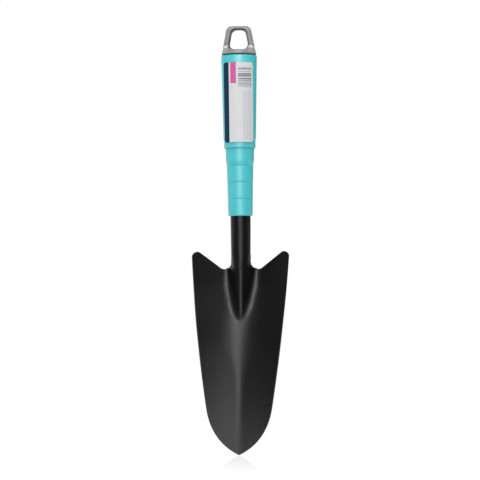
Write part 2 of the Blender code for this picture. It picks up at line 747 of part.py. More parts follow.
def level_rows(shares):
    """Half rows of the scoop below the first level row, each from the crest line to the edge."""
    low = NOTCH_Z - UPPER_DEPTH
    stations = []
    for i in range(1, RIDGE_ROWS + 1):
        stations.append(mix(RIDGE_END_Z, low, (1 - i / RIDGE_ROWS) ** RIDGE_CROWDING))
    for i in range(1, SIDE_ROWS + 1):
        stations.append(mix(RIDGE_END_Z, NOSE_Z, i / SIDE_ROWS))
    edges = [(side_at(height), height) for height in stations] + nose_outline()[1:]
    rows = []
    for edge, height in edges:
        row = ridge_row(height, edge / 2)
        width = row[-1][0]
        for share in shares[1:]:
            across = mix(width, edge, share)
            row.append((across, face_depth(across, height), height))
        rows.append(row)
    return rows


def make_blade(finish):
    """One sheet: tang, neck, ridge and scoop, built as rows from the top down."""
    top = top_outline()
    wing, shares = upper_rows(top)
    first_z = wing[0][0][2]
    rows = tang_rows(first_z)
    for row in wing:
        rows.append(ridge_row(row[0][2]) + row[1:])
    rows += level_rows(shares)
    form = bmesh.new()
    grid = [mirrored_row(form, row) for row in rows]
    for upper, lower in zip(grid, grid[1:]):
        for i in upper:
            if i + 1 in upper and i + 1 in lower:
                form.faces.new((upper[i], lower[i], lower[i + 1], upper[i + 1]))
    bmesh.ops.remove_doubles(form, verts=form.verts, dist=MERGE_DISTANCE)
    blade = add_object("blade", form, finish)
    thicken(blade, SHEET)
    hole = rod_form(PEG_RADIUS + FIT_GAP, -TANG_RADIUS - SHEET, TANG_RADIUS + SHEET)
    combine(blade, add_cutter("peg_holes", hole), "DIFFERENCE")


def tang_rows(first_z):
    """Half rows of the tube, from the end of the tang to just above the notches."""
    heights = [TANG_TOP_Z, TANG_TOP_Z - TANG_POINT, PEG_Z, HANDLE_END_Z]
    roll_top = first_z + ROLL_LENGTH
    for i in range(1, NECK_ROWS + 1):
        heights.append(mix(HANDLE_END_Z, roll_top, i / NECK_ROWS))
    for i in range(1, ROLL_ROWS):
        heights.append(first_z + ROLL_LENGTH * (1 - i / ROLL_ROWS) ** ROLL_CROWDING)
    return [tube_row(height) for height in heights]


def mirrored_row(form, half):
    """Vertices of a whole row, keyed from left to right by column, with 0 on the centre line."""
    row = {}
    for i, (x, y, z) in enumerate(half):
        row[i] = form.verts.new((x, y, z))
        if i:
            row[-i] = form.verts.new((-x, y, z))
    return row


def main():
    clear_scene()
    make_hanger_cap(material("grey_plastic", (0.33, 0.33, 0.33), 0.45))
    make_handle(material("turquoise_plastic", (0.10, 0.54, 0.56), 0.5))
    make_label(material("label_paper", (0.76, 0.77, 0.79), 0.4))
    make_blade(material("black_paint", (0.018, 0.018, 0.018), 0.38))


main()
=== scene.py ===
"""Looks of the garden trowel: fine meshes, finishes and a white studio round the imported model.

Metres, +Z up, in the frame's own axes. The origin is the inner top of the hanging eye, and the
scooping face looks along -Y.
"""

import math

import bmesh
import bpy
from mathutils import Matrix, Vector


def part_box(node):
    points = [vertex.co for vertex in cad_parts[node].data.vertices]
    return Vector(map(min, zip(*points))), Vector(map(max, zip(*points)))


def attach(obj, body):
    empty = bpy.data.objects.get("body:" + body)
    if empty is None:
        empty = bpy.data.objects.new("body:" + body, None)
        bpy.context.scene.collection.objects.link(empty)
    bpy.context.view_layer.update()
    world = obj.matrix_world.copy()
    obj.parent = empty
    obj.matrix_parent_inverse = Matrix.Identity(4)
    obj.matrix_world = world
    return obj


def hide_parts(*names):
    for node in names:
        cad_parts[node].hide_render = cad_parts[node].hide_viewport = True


MM = 0.001

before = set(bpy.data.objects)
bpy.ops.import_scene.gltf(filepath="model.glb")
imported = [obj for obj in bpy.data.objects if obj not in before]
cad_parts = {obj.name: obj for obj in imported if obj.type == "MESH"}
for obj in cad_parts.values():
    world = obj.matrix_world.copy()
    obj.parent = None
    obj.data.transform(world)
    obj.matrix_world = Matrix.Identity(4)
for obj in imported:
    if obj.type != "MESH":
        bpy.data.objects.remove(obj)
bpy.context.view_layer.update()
_, CAP_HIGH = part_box("hanger_cap")
HANDLE_LOW, HANDLE_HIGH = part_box("handle")
BLADE_LOW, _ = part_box("blade")
FIT_GAP = 0.3 * MM  # the clearance that the handle keeps round the tang

# Hanging eye and the loop round it
EYE_HEIGHT = 15.5 * MM
EYE_TOP_RADIUS = 4.5 * MM
EYE_TOP_SPREAD = 1.55 * MM
EYE_BOTTOM_RADIUS = 4.0 * MM
EYE_BOTTOM_SPREAD = 3.4 * MM
EYE_FLARE = 1.1 * MM  # how far the eye's edge is rounded back at both faces of the loop
EYE_TOP_FLARE = 2.4  # times as far over the eye as under it
LOOP_CORNER_RADIUS = 4.4 * MM
LOOP_CORNER_SPREAD = 5.65 * MM
LOOP_FOOT_HALF_WIDTH = 12.4 * MM
LOOP_DEPTH = 9.0 * MM
LOOP_EDGE_RADIUS = 1.8 * MM

# Round base of the cap and its plug
BASE_HEIGHT = 4.8 * MM
BASE_RIM = 2.3 * MM
BASE_TOP_RADIUS = 12.9 * MM
BASE_EDGE_RADIUS = 1.9 * MM
BASE_DRAFT = math.radians(8)
BASE_FLOOR = 2.6 * MM
PLUG_RADIUS = 10.5 * MM
PLUG_WALL = 1.8 * MM
PLUG_LENGTH = 12.0 * MM

# Handle
HANDLE_TOP_ROUNDING = 0.7 * MM
BODY_LENGTH = 65.5 * MM
BODY_END_RADIUS = 13.0 * MM
LIP_SHOULDER = 3.2 * MM
LIP_LENGTH = 5.4 * MM
LIP_RADIUS = 12.55 * MM
LIP_ROUNDING = 0.9 * MM
RING_LENGTHS = (14.0 * MM, 13.1 * MM, 13.2 * MM, 13.7 * MM)
RING_TOP_RADII = (11.55 * MM, 10.55 * MM, 10.2 * MM, 9.95 * MM)
RING_END_RADII = (10.5 * MM, 10.25 * MM, 10.0 * MM, 9.75 * MM)
RING_BULGE = (0.38 * MM, 0.06 * MM, 0.04 * MM, 0.02 * MM)
BULGE_SKEW = 2.2  # how far down a ring its bulge sits
GROOVE_DEPTH = 0.25 * MM
GROOVE_WIDTH = 0.75 * MM  # of the side that looks down
GROOVE_EDGE = 0.05 * MM  # of the side that looks up, almost a square step
HANDLE_END_ROUNDING = 0.8 * MM
BORE_TOP_RADIUS = 10.8 * MM
BORE_END_RADIUS = 9.8 * MM
PLUG_ROOM = 1.4 * MM
WEB_THICKNESS = 3.6 * MM
WEB_HOLE_RADIUS = 5.0 * MM

# Tang and neck
SHEET = 1.5 * MM
SHEET_EDGE = 0.3 * MM  # rounding that the paint leaves on the cut edge
SHEET_EDGE_STEPS = 2
SHEET_EDGE_ANGLE = math.radians(60)  # above which an edge of the sheet is a cut one
TANG_RADIUS = 8.1 * MM
TANG_LENGTH = 60.0 * MM
TANG_POINT_RADIUS = 7.7 * MM
TANG_POINT = 3.0 * MM
NECK_RADIUS = 7.75 * MM
NECK_LENGTH = 42.5 * MM
SEAM_HALF_GAP = 0.6 * MM
ROLL_LENGTH = 14.0 * MM
FLARE_LENGTH = 6.5 * MM
FLARE_POWER = 2.6
NECK_CUT = 12.0 * MM  # half the sheet's width where the free edge has run in to the neck
SEAM_CLOSES = 14.0 * MM  # above that, where the two edges have come together at the back

# Ridge
RIDGE_LENGTH = 41.0 * MM
RIDGE_HALF_WIDTH = 12.2 * MM
RIDGE_HEIGHT = 12.6 * MM
RIDGE_TAPER = 1.6  # with the next, the powers by which the ridge narrows on its way down
RIDGE_BLUNTNESS = 0.42
RIDGE_TOP_RADIUS = 5.4 * MM
RIDGE_END_RADIUS = 4.0 * MM
RIDGE_END_SOFTNESS = 1.1
VALLEY_TOP_RADIUS = 3.0 * MM
VALLEY_END_RADIUS = 11.5 * MM

# Scoop
BLADE_LENGTH = 144.9 * MM
SHOULDER_RISE = 14.2 * MM
SHOULDER_RADIUS = 3.5 * MM
SHOULDER_ANGLE = math.radians(37)
BLADE_HALF_WIDTH = 38.2 * MM
SIDE_TAPER = 0.0597
SIDE_CURVE = 0.372  # per metre
NOTCH_RADIUS = 5.0 * MM
NOTCH_FROM_CENTRE = 13.6 * MM
NOSE_LENGTH = 38.5 * MM
NOSE_PULL = 6.6 * MM
NOSE_TIP_PULL = 24.8 * MM
NOSE_TIP_ANGLE = math.radians(65.2)
WING_SLOPE_TOP = 0.5
WING_SLOPE_TIP = 0.08
WING_CURVE = 4.0  # per metre
FOLD_WIDTH = 4.5 * MM
FOLD_SWELL = 16.0 * MM  # by which the fold widens where it meets the other side's
FOLD_REACH = 24.0 * MM  # of that widening, up and down
FOLD_PARTS = 10.0 * MM  # below the notches, where the fold leaves the foot of the ridge
FOLD_MEETS = 50.0 * MM  # below the notches, where it has run in to the centre line
FLOOR_SLOPE = 0.34
TIP_SLOPE = 0.24
FLOOR_BEND = 65.0 * MM

# Sticker
LABEL_WIDTH = 27.4 * MM
LABEL_LENGTH = 63.4 * MM
LABEL_DROP = 6.5 * MM
LABEL_CORNER = 2.4 * MM
LABEL_THICKNESS = 0.15 * MM
LABEL_GAP = 0.03 * MM

# Print on the sticker: (left, right, top, bottom) from its upper left corner, and its inks
NAVY_STRIP = (0.0, 6.1 * MM, 0.0, LABEL_LENGTH)
NAVY = (0.0, 0.028, 0.066)
MAGENTA_BLOCK = (7.6 * MM, 12.4 * MM, 0.0, 16.7 * MM)
MAGENTA = (0.50, 0.085, 0.27)
BAR_BLOCK = (14.0 * MM, 25.6 * MM, 4.5 * MM, 19.7 * MM)
BAR_INK = (0.05, 0.06, 0.10)
BAR_STEP = 0.3 * MM
BAR_CHANCE = 0.48  # that a step stays white
RULE_BLOCK = (17.4 * MM, 24.4 * MM, 22.5 * MM, 61.5 * MM)
RULE_INK = (0.38, 0.39, 0.42)
RULE_STEP = 1.5 * MM
RULE_WIDTH = 0.3  # of a step

# Fineness of the meshes
MERGE_DISTANCE = 0.001 * MM
SHARP_EDGE = math.radians(35)
ROUND_STEPS = 128
CORNER_STEPS = 14
ROUNDING_STEPS = 6
CAP_VOXEL = 0.3 * MM
CAP_SMOOTHING = 0.5
CAP_SMOOTHING_ROUNDS = 24
LIP_STEPS = 8
RING_STEPS = 16
LABEL_COLUMNS = 48
LABEL_ROWS = 40
LABEL_CORNER_STEPS = 8
NOTCH_STEPS = 8
SHOULDER_STEPS = 12
TOP_EDGE_STEPS = 7
CREST_STEPS = 8
FLANK_STEPS = 5
VALLEY_STEPS = 10
CENTRE_MIN_WIDTH = 4.0 * MM
BEND_STEPS = 6
TANG_POINT_ROWS = 2
TANG_ROWS = 6
NECK_ROWS = 14
ROLL_ROWS = 20
UPPER_ROWS = 14
UPPER_DEPTH = 13.0 * MM
RIDGE_ROWS = 30
SIDE_ROWS = 20
NOSE_ROWS = 20
ROLL_CROWDING = 1.5
RIDGE_CROWDING = 1.6

# Heights and radii that follow
JOINT_Z = -EYE_HEIGHT - BASE_HEIGHT
BASE_TOP_Z = -EYE_HEIGHT + BASE_RIM
HANDLE_TOP_Z = HANDLE_HIGH.z
HANDLE_END_Z = HANDLE_LOW.z
HANDLE_TOP_RADIUS = HANDLE_HIGH.x
LOOP_BAR = CAP_HIGH.z
LIP_Z = HANDLE_TOP_Z - BODY_LENGTH
RINGS_Z = LIP_Z - LIP_SHOULDER - LIP_LENGTH
TANG_TOP_Z = HANDLE_END_Z + TANG_LENGTH
NOTCH_Z = HANDLE_END_Z - NECK_LENGTH
RIDGE_END_Z = NOTCH_Z - RIDGE_LENGTH
TIP_Z = NOTCH_Z - BLADE_LENGTH
NOSE_Z = TIP_Z + NOSE_LENGTH
SHOULDER_Z = NOTCH_Z + SHOULDER_RISE - SHOULDER_RADIUS
TANG_BORE_RADIUS = TANG_RADIUS + FIT_GAP

# Finishes: colours from darkest to lightest, roughness from lowest to highest, noises by the size
# of their blobs, and bumps by that size and their depth
PAINT_COLOURS = ((0.0026, 0.0026, 0.0028), (0.004, 0.004, 0.0044))
PAINT_CLOUD = 14 * MM
PAINT_ROUGHNESS = (0.33, 0.40)
PAINT_GLOSS = 3 * MM
PAINT_PEEL = (1.1 * MM, 0.02 * MM)
PAINT_GRAIN = (0.25 * MM, 0.004 * MM)
FILM_COLOURS = ((0.50, 0.505, 0.515), (0.54, 0.54, 0.55))
FILM_CLOUD = 20 * MM
FILM_ROUGHNESS = (0.34, 0.42)
FILM_SPECULAR = 0.2
FILM_WAVE = (3 * MM, 0.01 * MM)
MOULD_SHADES = (0.94, 1.04)  # of a moulding's colour
MOULD_CLOUD = 9 * MM
MOULD_GRAIN = (0.3 * MM, 0.004 * MM)
SHEEN_SIZE = 2 * MM  # of the blobs in the gloss of film and mouldings

# The two mouldings; a closed hollow keeps this share of the colour, as painted shade
HANDLE_FINISH = {
    "colour": (0.03, 0.485, 0.53),
    "painted_shade_share": 0.4,
    "ior": 1.65,
    "roughness": (0.36, 0.44),
}
CAP_FINISH = {
    "colour": (0.215, 0.215, 0.215),
    "painted_shade_share": 0.05,
    "ior": 1.5,
    "roughness": (0.40, 0.46),
    # colour of the painted highlight on the rounded edge of the cap's ledges
    "painted_highlight": (0.66, 0.66, 0.66),
}
# Painted shade: the colour darkens in hollows and beside them, the less open their surroundings are
PAINTED_SHADE_REACH = 18 * MM  # how far a hollow darkens the plastic beside it
PAINTED_SHADE_FALL = 2.0  # power of the open share of a point's surroundings

# Painted light on the cap; each pair is the Z of the surface's normal where the effect starts and is
# full: painted shade where it looks down, and a painted highlight on the rounded edge of its ledges
PAINTED_UNDER_SHADE = (0.1, -0.6)
PAINTED_HIGHLIGHT_ON_EDGE = (0.15, 0.5)
PAINTED_HIGHLIGHT_OFF_FLAT = (0.97, 0.85)
LEDGE_FADE = 1.0 * MM  # over which the painted highlight on the ledge of the base comes and goes
LEDGE_STARTS = 9.0 * MM  # from the centre line, beside the eye

# Studio, in metres and watts where nothing else is said
CAMERA_DISTANCE = 1.5
CAMERA_HEIGHT = -167.9 * MM
CAMERA_AZIMUTH = math.radians(5.2)
CAMERA_ROLL = math.radians(0.54)
CAMERA_ASIDE = -0.58 * MM
VIEW_HEIGHT = 384 * MM  # what the picture spans at the trowel's distance
SENSOR = 36.0  # millimetres
FLOOR_REACH = 4.0
FLOOR_DROP = 0.1 * MM  # below the tip
FLOOR_LIGHT = 0.32  # strength of its own white as a light on the trowel
FLOOR_GLOW = 0.81  # share of its own white; the rest shows light and shadow
MIRROR_ROUGHNESS = 0.07
MIRROR_START = 30 * MM  # from the middle of the table, where its gloss starts to fade
MIRROR_END = 180 * MM
ROOM_RADIUS = 2.5
ROOM_COLUMNS = 48
ROOM_ROWS = 24
ROOM_END_LEFT = 0.6  # of the radius behind the trowel, where the black cards end
ROOM_END_RIGHT = 0.95
DARK_TABLE_START = 0.3  # from the middle of the table, where the black cards on it start
DARK_TABLE_LIFT = 1.0 * MM  # above the tip
LAMP_DISTANCE = 1.1
LAMPS = (  # name, azimuth and elevation in degrees, width and height, power
    ("front_box", 8, 25, (0.42, 0.26), 2.5),
    ("upper_box", -8, 34, (0.42, 0.26), 2.1),
    ("low_band", 1, 0, (0.7, 0.22), 1.85),
    ("left_wing_box", -48, 54, (0.4, 0.4), 0.5),
    ("right_wing_box", 52, 38, (0.5, 0.5), 0.35),
    ("left_panel", -85, 10, (0.8, 0.8), 0.6),
    ("top_box", 0, 74, (0.9, 0.7), 1.8),
)


def mix(first, last, share):
    """The value at a share of the way from first to last."""
    return first + (last - first) * share


def clamped(share):
    """A share kept between 0 and 1."""
    return min(1.0, max(0.0, share))


def ease(share):
    """A share that starts and ends without a kink."""
    return share * share * (3 - 2 * share)


def spaced(first, last, steps):
    """Values in equal steps from first to last, both included."""
    return [mix(first, last, i / steps) for i in range(steps + 1)]


def arc(centre, radius, start, end, steps):
    """Points on an arc in a plane, angles in radians from the first axis."""
    angles = spaced(start, end, steps)
    return [(centre[0] + radius * math.cos(a), centre[1] + radius * math.sin(a)) for a in angles]


def both_sides(right):
    """A closed outline from its right half."""
    return right + [(-x, z) for x, z in reversed(right)]


def placed(name, data):
    """A new object in the scene."""
    made = bpy.data.objects.new(name, data)
    bpy.context.scene.collection.objects.link(made)
    return made


def add_object(name, form):
    """A scene object from a bmesh, which is used up."""
    mesh = bpy.data.meshes.new(name)
    form.to_mesh(mesh)
    form.free()
    return placed(name, mesh)


def settle(piece, finish, sharp=SHARP_EDGE):
    """Applies a piece's modifiers, shades it smooth and gives it its finish."""
    graph = bpy.context.evaluated_depsgraph_get()
    mesh = bpy.data.meshes.new_from_object(piece.evaluated_get(graph))
    piece.modifiers.clear()
    piece.data = mesh
    mesh.materials.clear()
    mesh.materials.append(finish)
    mesh.shade_smooth()
    mesh.set_sharp_from_angle(angle=sharp)
    return piece


def install(piece, node):
    """Puts a finished piece in the place of a node of the model."""
    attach(piece, "root")
    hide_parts(node)


def turned(profile, steps=ROUND_STEPS):
    """A closed body turned about Z from a profile of (radius, height)."""
    form = bmesh.new()
    points = [form.verts.new((radius, 0, height)) for radius, height in profile]
    edges = [form.edges.new(pair) for pair in zip(points, points[1:])]
    bmesh.ops.spin(
        form,
        geom=points + edges,
        cent=(0, 0, 0),
        axis=(0, 0, 1),
        angle=2 * math.pi,
        steps=steps,
        use_duplicate=False,
    )
    bmesh.ops.remove_doubles(form, verts=form.verts, dist=MERGE_DISTANCE)
    bmesh.ops.recalc_face_normals(form, faces=form.faces)
    return form


def stacked(loops):
    """A closed body from loops of equal count, each loop one cross-section."""
    form = bmesh.new()
    rings = [[form.verts.new(point) for point in loop] for loop in loops]
    for lower, upper in zip(rings, rings[1:]):
        for i in range(len(lower)):
            j = (i + 1) % len(lower)
            form.faces.new((lower[i], lower[j], upper[j], upper[i]))
    form.faces.new(rings[0][::-1])
    form.faces.new(rings[-1])
    bmesh.ops.recalc_face_normals(form, faces=form.faces)
    return form


def combine(target, other, operation):
    """A modifier that joins the other object to the target or cuts it out."""
    step = target.modifiers.new(operation.lower(), "BOOLEAN")
    step.operation = operation
    step.solver = "EXACT"
    step.object = other


def thicken(target, thickness):
    """A modifier that thickens a sheet away from the side that its faces look to."""
    step = target.modifiers.new("thickness", "SOLIDIFY")
    step.thickness = thickness
    step.offset = -1
    step.use_even_offset = True
    step.use_quality_normals = True


def eye_outline(grow):
    """The eye's outline in X and Z, grown outwards by a distance."""
    top = (EYE_TOP_SPREAD, -EYE_TOP_RADIUS)
    bottom = (EYE_BOTTOM_SPREAD, -EYE_HEIGHT + EYE_BOTTOM_RADIUS)
    lean = math.atan2(bottom[0] - top[0], top[1] - bottom[1])
    right = arc(top, EYE_TOP_RADIUS + grow * EYE_TOP_FLARE, math.pi / 2, lean, CORNER_STEPS)
    right += arc(bottom, EYE_BOTTOM_RADIUS + grow, lean, -math.pi / 2, CORNER_STEPS)
    return both_sides(right)


def eye_form():
    """The eye's hole, rounded back towards both faces of the loop."""
    inner = LOOP_DEPTH / 2 - EYE_FLARE
    beyond = BASE_TOP_RADIUS + EYE_FLARE
    sections = []
    for turn in spaced(0, math.pi / 2, ROUNDING_STEPS):
        sections.append((inner + EYE_FLARE * math.sin(turn), EYE_FLARE * (1 - math.cos(turn))))
    sections.append((beyond, EYE_FLARE))
    sections = [(-y, grow) for y, grow in reversed(sections)] + sections
    return stacked([[(x, y, z) for x, z in eye_outline(grow)] for y, grow in sections])


def loop_outline(inset):
    """The loop's outline in X and Z, drawn in by a distance."""
    corner = (LOOP_CORNER_SPREAD, LOOP_BAR - LOOP_CORNER_RADIUS)
    foot = (LOOP_FOOT_HALF_WIDTH, BASE_TOP_Z)
    reach = math.hypot(foot[0] - corner[0], foot[1] - corner[1])
    swing = math.atan2(corner[1] - foot[1], foot[0] - corner[0])
    lean = math.acos(LOOP_CORNER_RADIUS / reach) - swing
    right = arc(corner, LOOP_CORNER_RADIUS - inset, math.pi / 2, lean, CORNER_STEPS)
    foot_x = foot[0] - inset / math.cos(lean)
    right += [(foot_x, foot[1]), (foot_x - BASE_RIM * math.tan(lean), -EYE_HEIGHT)]
    return both_sides(right)


def loop_form():
    """The plate that the eye goes through, with rounded edges, its foot sunk in the base."""
    sections = []
    for turn in spaced(0, math.pi / 2, ROUNDING_STEPS):
        depth = LOOP_DEPTH / 2 - LOOP_EDGE_RADIUS * (1 - math.cos(turn))
        sections.append((depth, LOOP_EDGE_RADIUS * (1 - math.sin(turn))))
    sections = [(-y, inset) for y, inset in sections] + [(y, inset) for y, inset in reversed(sections)]
    return stacked([[(x, y, z) for x, z in loop_outline(inset)] for y, inset in sections])


def cap_profile():
    """The turned part of the cap: base above the joint, hollow plug below it."""
    centre = (BASE_TOP_RADIUS - BASE_EDGE_RADIUS, BASE_TOP_Z - BASE_EDGE_RADIUS)
    rim = arc(centre, BASE_EDGE_RADIUS, math.pi / 2, BASE_DRAFT, ROUNDING_STEPS)
    plug_end = JOINT_Z - PLUG_LENGTH
    ceiling = -EYE_HEIGHT - BASE_FLOOR
    return [
        (0, BASE_TOP_Z),
        *rim,
        (HANDLE_TOP_RADIUS - HANDLE_TOP_ROUNDING / 2, JOINT_Z + HANDLE_TOP_ROUNDING),
        (HANDLE_TOP_RADIUS - HANDLE_TOP_ROUNDING, JOINT_Z),
        (PLUG_RADIUS, JOINT_Z),
        (PLUG_RADIUS, plug_end),
        (PLUG_RADIUS - PLUG_WALL, plug_end),
        (PLUG_RADIUS - PLUG_WALL, ceiling),
        (0, ceiling),
    ]


def make_cap(finish):
    """The grey cap with its hanging eye, melted into one moulding with soft fillets."""
    cap = add_object("cap_with_eye", turned(cap_profile()))
    helpers = [add_object("loop_plate", loop_form()), add_object("eye_hole", eye_form())]
    for helper, operation in zip(helpers, ("UNION", "DIFFERENCE")):
        combine(cap, helper, operation)
    remesh = cap.modifiers.new("moulding", "REMESH")
    remesh.mode = "VOXEL"
    remesh.voxel_size = CAP_VOXEL
    smooth = cap.modifiers.new("fillets", "SMOOTH")
    smooth.factor = CAP_SMOOTHING
    smooth.iterations = CAP_SMOOTHING_ROUNDS
    settle(cap, finish, sharp=math.pi)
    for helper in helpers:
        bpy.data.objects.remove(helper)
    install(cap, "hanger_cap")


def body_radius(height):
    """Radius of the handle's smooth taper at a height."""
    return mix(HANDLE_TOP_RADIUS, BODY_END_RADIUS, (HANDLE_TOP_Z - height) / BODY_LENGTH)


def lip_profile():
    """The soft shoulder, the band below it and its rounded lower edge."""
    points = []
    for i in range(LIP_STEPS + 1):
        share = i / LIP_STEPS
        points.append((mix(BODY_END_RADIUS, LIP_RADIUS, ease(share)), LIP_Z - LIP_SHOULDER * share))
    centre = (LIP_RADIUS - LIP_ROUNDING, RINGS_Z + LIP_ROUNDING)
    return points + arc(centre, LIP_ROUNDING, 0, -math.pi / 2, ROUNDING_STEPS)


def ring_profile(index):
    """One ringed step of the handle, from the groove above it to the groove below it."""
    top = RINGS_Z - sum(RING_LENGTHS[:index])
    start, end = RING_TOP_RADII[index], RING_END_RADII[index]
    edge = top - GROOVE_EDGE
    length = RING_LENGTHS[index] - GROOVE_EDGE - GROOVE_WIDTH
    points = [(start - GROOVE_DEPTH, top)]
    for i in range(RING_STEPS + 1):
        share = i / RING_STEPS
        bulge = RING_BULGE[index] * math.sin(math.pi * share**BULGE_SKEW)
        points.append((mix(start, end, share) + bulge, edge - length * share))
    return points


def handle_outside():
    """Profile from the joint down to the lower end."""
    centre = (HANDLE_TOP_RADIUS - HANDLE_TOP_ROUNDING, HANDLE_TOP_Z - HANDLE_TOP_ROUNDING)
    top = arc(centre, HANDLE_TOP_ROUNDING, math.pi / 2, 0, ROUNDING_STEPS)
    rings = [point for index in range(len(RING_TOP_RADII)) for point in ring_profile(index)]
    centre = (RING_END_RADII[-1] - HANDLE_END_ROUNDING, HANDLE_END_Z + HANDLE_END_ROUNDING)
    end = arc(centre, HANDLE_END_ROUNDING, 0, -math.pi / 2, ROUNDING_STEPS)
    return top + lip_profile() + rings[:-1] + end


def handle_inside():
    """Profile from the lower end up to the joint: tang bore, web, hollow, bore of the plug."""
    seat = TANG_TOP_Z + FIT_GAP
    return [
        (TANG_BORE_RADIUS, HANDLE_END_Z),
        (TANG_BORE_RADIUS, seat),
        (WEB_HOLE_RADIUS, seat),
        (WEB_HOLE_RADIUS, seat + WEB_THICKNESS),
        (BORE_END_RADIUS, seat + WEB_THICKNESS),
        (BORE_TOP_RADIUS, JOINT_Z - PLUG_LENGTH - PLUG_ROOM),
        (BORE_TOP_RADIUS, HANDLE_TOP_Z),
    ]


def make_handle(finish):
    """The turquoise handle, one closed body turned from its outside and its bores."""
    profile = handle_outside() + handle_inside()
    handle = settle(add_object("ringed_handle", turned(profile + profile[:1])), finish)
    install(handle, "handle")


def label_draw_in(across):
    """How far the sticker's upper and lower edges are drawn in at a distance from its side."""
    from_side = min(across, LABEL_WIDTH - across)
    if from_side >= LABEL_CORNER:
        return 0.0
    return LABEL_CORNER - math.sqrt(LABEL_CORNER**2 - (LABEL_CORNER - from_side) ** 2)


def make_label(finish):
    """The printed sticker, wrapped on the taper of the handle. Its UV map is in sizes of the sticker."""
    turns = spaced(0, math.pi / 2, LABEL_CORNER_STEPS)[:-1]
    corner = [LABEL_CORNER * (1 - math.cos(turn)) for turn in turns]
    straight = spaced(LABEL_CORNER, LABEL_WIDTH - LABEL_CORNER, LABEL_COLUMNS)
    stations = corner + straight + [LABEL_WIDTH - across for across in reversed(corner)]
    top = JOINT_Z - LABEL_DROP
    form = bmesh.new()
    uv_map = form.loops.layers.uv.new("print")
    columns = []
    for across in stations:
        draw_in = label_draw_in(across)
        column = []
        for step in range(LABEL_ROWS + 1):
            down = mix(draw_in, LABEL_LENGTH - draw_in, step / LABEL_ROWS)
            radius = body_radius(top - down) + LABEL_GAP + LABEL_THICKNESS
            turn = (across - LABEL_WIDTH / 2) / radius
            vert = form.verts.new((radius * math.sin(turn), -radius * math.cos(turn), top - down))
            column.append((vert, (across / LABEL_WIDTH, down / LABEL_LENGTH)))
        columns.append(column)
    for left, right in zip(columns, columns[1:]):
        for i in range(LABEL_ROWS):
            corners = (left[i], left[i + 1], right[i + 1], right[i])
            face = form.faces.new([vert for vert, _ in corners])
            for loop, (_, uv) in zip(face.loops, corners):
                loop[uv_map].uv = uv
    label = add_object("printed_label", form)
    thicken(label, LABEL_THICKNESS)
    install(settle(label, finish), "label")


def ridge_at(height):
    """Half-width between the valleys, rise, crest radius and valley radius of the ridge at a height."""
    along = clamped((NOTCH_Z - height) / RIDGE_LENGTH)
    half_width = RIDGE_HALF_WIDTH * (1 - along**RIDGE_TAPER) ** RIDGE_BLUNTNESS
    crest = mix(RIDGE_END_RADIUS, RIDGE_TOP_RADIUS, (1 - along) ** 2)
    valley = mix(VALLEY_TOP_RADIUS, VALLEY_END_RADIUS, along)
    return half_width, RIDGE_HEIGHT * (1 - along) ** RIDGE_END_SOFTNESS, crest, valley


def fold_at(height):
    """Steepness of the scoop's sides, and where the fold at their foot starts and how wide it is."""
    steep = mix(WING_SLOPE_TIP, WING_SLOPE_TOP, (height - TIP_Z) / BLADE_LENGTH)
    below = NOTCH_Z - height
    parted = (below - FOLD_PARTS) / (FOLD_MEETS - FOLD_PARTS)
    width = FOLD_WIDTH + FOLD_SWELL * math.exp(-(((below - FOLD_MEETS) / FOLD_REACH) ** 2))
    return steep, RIDGE_HALF_WIDTH * (1 - ease(clamped(parted))), width


def wing_slope(across, height):
    """Slope of the scoop's face, without its ridge."""
    steep, start, width = fold_at(height)
    folded = clamped((across - start) / width)
    return steep * folded * (2 - folded)


def foot_turn(height):
    """How far past square the arc of the valley turns before it runs into the wing."""
    return math.atan(wing_slope(ridge_at(height)[0], height))


def foot_at(height):
    """Distance from the centre line at which the valley has run into the wing."""
    half_width, _, _, valley = ridge_at(height)
    return half_width + valley * math.sin(foot_turn(height))


def ridge_bends(height):
    """The ridge's section as stretches of (length, curvature): crest arc, straight flank, valley arc."""
    half_width, rise, crest, valley = ridge_at(height)
    both = crest + valley
    flank = math.sqrt(max(0.0, half_width**2 + rise**2 - 2 * both * rise))
    reach = math.hypot(half_width, both - rise)
    slope = math.asin(min(1.0, both / reach)) - math.atan2(both - rise, half_width)
    return [(crest * slope, 1 / crest), (flank, 0.0), (valley * (slope + foot_turn(height)), -1 / valley)]


def curvature_at(bends, along):
    """Curvature of a section at a distance from its middle."""
    for length, curvature in bends:
        if along < length:
            return curvature
        along -= length
    return bends[-1][1]


def stations_of(bends):
    """Distances along the section at which the sheet's columns lie, closer where it bends hard."""
    found = [0.0]
    for (length, _), steps in zip(bends, (CREST_STEPS, FLANK_STEPS, VALLEY_STEPS)):
        start = found[-1]
        found += [start + length * (i + 1) / steps for i in range(steps)]
    return found


def bent_line(marks, curvature):
    """Points (across, back) at the marks along a line that starts square to the view."""
    across = back = turn = 0.0
    points = [(across, back)]
    for start, end in zip(marks, marks[1:]):
        step = (end - start) / BEND_STEPS
        for i in range(BEND_STEPS):
            bend = curvature(start + (i + 0.5) * step) * step
            across += step * math.cos(turn + bend / 2)
            back += step * math.sin(turn + bend / 2)
            turn += bend
        points.append((across, back))
    return points


def tube_radius(height):
    """Outer radius of the rolled tube: tapered point, tang, then the neck."""
    if height > TANG_TOP_Z - TANG_POINT:
        return mix(TANG_POINT_RADIUS, TANG_RADIUS, (TANG_TOP_Z - height) / TANG_POINT)
    return mix(TANG_RADIUS, NECK_RADIUS, ease(clamped((HANDLE_END_Z - height) / NECK_LENGTH)))


def flare_foot():
    """Height at which the free upper edge meets the valley of the ridge."""
    aside = foot_at(NOTCH_Z) - NOTCH_FROM_CENTRE
    return NOTCH_Z + NOTCH_RADIUS - math.sqrt(NOTCH_RADIUS**2 - aside**2)


